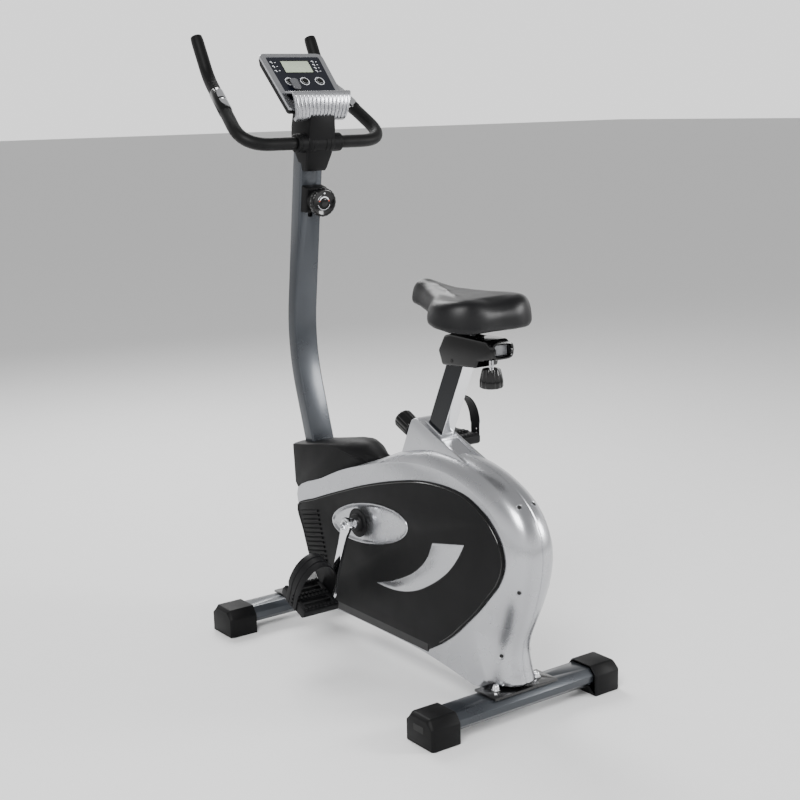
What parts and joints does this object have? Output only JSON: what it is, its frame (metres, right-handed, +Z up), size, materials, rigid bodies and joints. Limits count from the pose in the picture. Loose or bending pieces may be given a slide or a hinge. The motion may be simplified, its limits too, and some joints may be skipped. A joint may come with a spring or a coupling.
{
  "type": "exercise bike",
  "caption": "upright magnetic exercise bike with enclosed belt drive, sliding saddle on a leaning post, tilting handlebar, tension dial and console on a bent mast",
  "frame": {"origin": "On the floor plane, under the middle of the bike's overall length and width.", "axes": "+Z is up, +Y is the way the rider faces, +X is the rider's right."},
  "size_m": [0.5, 1.0371, 1.3959],
  "materials": {
    "silver_plastic": "satin metallic silver paint on moulded plastic",
    "black_plastic": "fine-grained matt black moulding",
    "gloss_black": "glossy black moulding",
    "grey_paint": "metallic gunmetal powder coat",
    "black_enamel": "black powder coat",
    "chrome": "bright chrome plate",
    "steel": "machined steel",
    "cast_iron": "turned cast iron",
    "foam": "dense closed-cell foam sleeve",
    "vinyl": "smooth black vinyl over foam",
    "rubber": "black rubber",
    "screen": "grey-green display window",
    "grey_plastic": "mid-grey moulding"
  },
  "bodies": {
    "base": {"frame": "black_enamel", "front_stabiliser": "grey_paint", "rear_stabiliser": "grey_paint", "front_left_foot": "black_plastic", "front_right_foot": "black_plastic", "rear_left_foot": "black_plastic", "rear_right_foot": "black_plastic", "front_clamp_bolts": "chrome", "rear_clamp_bolts": "chrome", "bottom_bracket": "steel", "flywheel_axle": "steel", "drive_belt": "rubber", "tension_cable": "rubber", "left_cover": "silver_plastic", "right_cover": "silver_plastic", "left_side_panel": "black_plastic", "right_side_panel": "black_plastic", "left_crank_dish": "silver_plastic", "right_crank_dish": "silver_plastic", "mast_shroud": "black_plastic", "post_bushing": "grey_plastic", "mast": "grey_paint", "tension_housing": "black_plastic", "clamp_cover": "black_plastic", "console_body": "silver_plastic", "console_lens": "screen", "media_ledge": "silver_plastic"},
    "crankset": {"crank_axle": "steel", "left_crank": "chrome", "right_crank": "chrome", "left_pedal_axle": "steel", "right_pedal_axle": "steel", "crank_pulley": "black_plastic"},
    "left_pedal_body": {"left_pedal": "black_plastic", "left_pedal_strap": "rubber"},
    "right_pedal_body": {"right_pedal": "black_plastic", "right_pedal_strap": "rubber"},
    "flywheel_body": {"flywheel": "cast_iron", "flywheel_pulley": "steel"},
    "idler": {"idler_pulley": "grey_plastic"},
    "magnet_arm": {"magnet_bracket": "steel"},
    "tension_dial": {"tension_knob": "gloss_black"},
    "bar": {"handlebar": "black_enamel", "left_grip": "foam", "right_grip": "foam", "left_pulse_sensor": "chrome", "right_pulse_sensor": "chrome"},
    "post": {"seat_post": "chrome", "saddle_carriage": "gloss_black"},
    "saddle": {"saddle_slider": "grey_plastic", "saddle_base": "black_plastic", "saddle_cushion": "vinyl"},
    "slider_lock": {"slider_knob": "gloss_black"},
    "height_pin": {"pop_pin": "gloss_black"},
    "left_key": {"left_button": "gloss_black"},
    "middle_key": {"middle_button": "gloss_black"},
    "right_key": {"right_button": "gloss_black"},
    "page_clip": {"media_clip": "grey_plastic"},
    "left_roller": {"left_transport_wheel": "grey_plastic"},
    "right_roller": {"right_transport_wheel": "grey_plastic"}
  },
  "joints": [
    {"name": "crank_spin", "type": "hinge", "parent": "base", "child": "crankset", "pos_m": [0, 0.0316, 0.312], "axis": [-1, 0, 0], "continuous": true},
    {"name": "left_pedal_spin", "type": "hinge", "parent": "crankset", "child": "left_pedal_body", "pos_m": [0, 0.0813, 0.14421], "axis": [-1, 0, 0], "continuous": true},
    {"name": "right_pedal_spin", "type": "hinge", "parent": "crankset", "child": "right_pedal_body", "pos_m": [0, -0.0181, 0.47979], "axis": [-1, 0, 0], "continuous": true},
    {"name": "flywheel_spin", "type": "hinge", "parent": "base", "child": "flywheel_body", "pos_m": [0, -0.3004, 0.268], "axis": [-1, 0, 0], "continuous": true},
    {"name": "idler_spin", "type": "hinge", "parent": "base", "child": "idler", "pos_m": [0, -0.13943, 0.09987], "axis": [-1, 0, 0], "continuous": true},
    {"name": "tension_turn", "type": "hinge", "parent": "base", "child": "tension_dial", "pos_m": [0, 0.24519, 1.01449], "axis": [0, -0.9907, -0.1357], "range_deg": [0, 270]},
    {"name": "magnet_swing", "type": "hinge", "parent": "base", "child": "magnet_arm", "pos_m": [0, -0.4234, 0.208], "axis": [1, 0, 0], "range_deg": [0, 4.05]},
    {"name": "handlebar_tilt", "type": "hinge", "parent": "base", "child": "bar", "pos_m": [0, 0.2459, 1.1466], "axis": [1, 0, 0], "range_deg": [-10, 10]},
    {"name": "seat_height", "type": "slide", "parent": "base", "child": "post", "axis": [0, -0.4305, 0.9026], "range_m": [-0.09, 0.09]},
    {"name": "height_pin_pull", "type": "slide", "parent": "base", "child": "height_pin", "axis": [0, 0.9026, 0.4305], "range_m": [0, 0.012], "stiffness_N_per_m": 400},
    {"name": "saddle_slide", "type": "slide", "parent": "post", "child": "saddle", "axis": [0, 1, 0], "range_m": [-0.03, 0.03]},
    {"name": "slider_lock_turn", "type": "hinge", "parent": "post", "child": "slider_lock", "pos_m": [0, -0.3644, 0.669], "axis": [0, 0, 1], "range_deg": [0, 180]},
    {"name": "left_key_press", "type": "slide", "parent": "base", "child": "left_key", "axis": [0, 0.7193, -0.6947], "range_m": [0, 0.0015], "stiffness_N_per_m": 300},
    {"name": "middle_key_press", "type": "slide", "parent": "base", "child": "middle_key", "axis": [0, 0.7193, -0.6947], "range_m": [0, 0.0015], "stiffness_N_per_m": 300},
    {"name": "right_key_press", "type": "slide", "parent": "base", "child": "right_key", "axis": [0, 0.7193, -0.6947], "range_m": [0, 0.0015], "stiffness_N_per_m": 300},
    {"name": "page_clip_lift", "type": "hinge", "parent": "base", "child": "page_clip", "pos_m": [0, 0.26608, 1.26692], "axis": [1, 0, 0], "range_deg": [0, 30], "stiffness_Nm_per_rad": 0.05},
    {"name": "left_roller_spin", "type": "hinge", "parent": "base", "child": "left_roller", "pos_m": [-0.229, 0.3816, 0.022], "axis": [-1, 0, 0], "continuous": true},
    {"name": "right_roller_spin", "type": "hinge", "parent": "base", "child": "right_roller", "pos_m": [0.229, 0.3816, 0.022], "axis": [-1, 0, 0], "continuous": true}
  ],
  "couplings": [
    {"joint": "flywheel_spin", "follows": "crank_spin", "ratio": 5.2381},
    {"joint": "idler_spin", "follows": "crank_spin", "ratio": -7.3333},
    {"joint": "magnet_swing", "follows": "tension_turn", "ratio": 0.015}
  ]
}
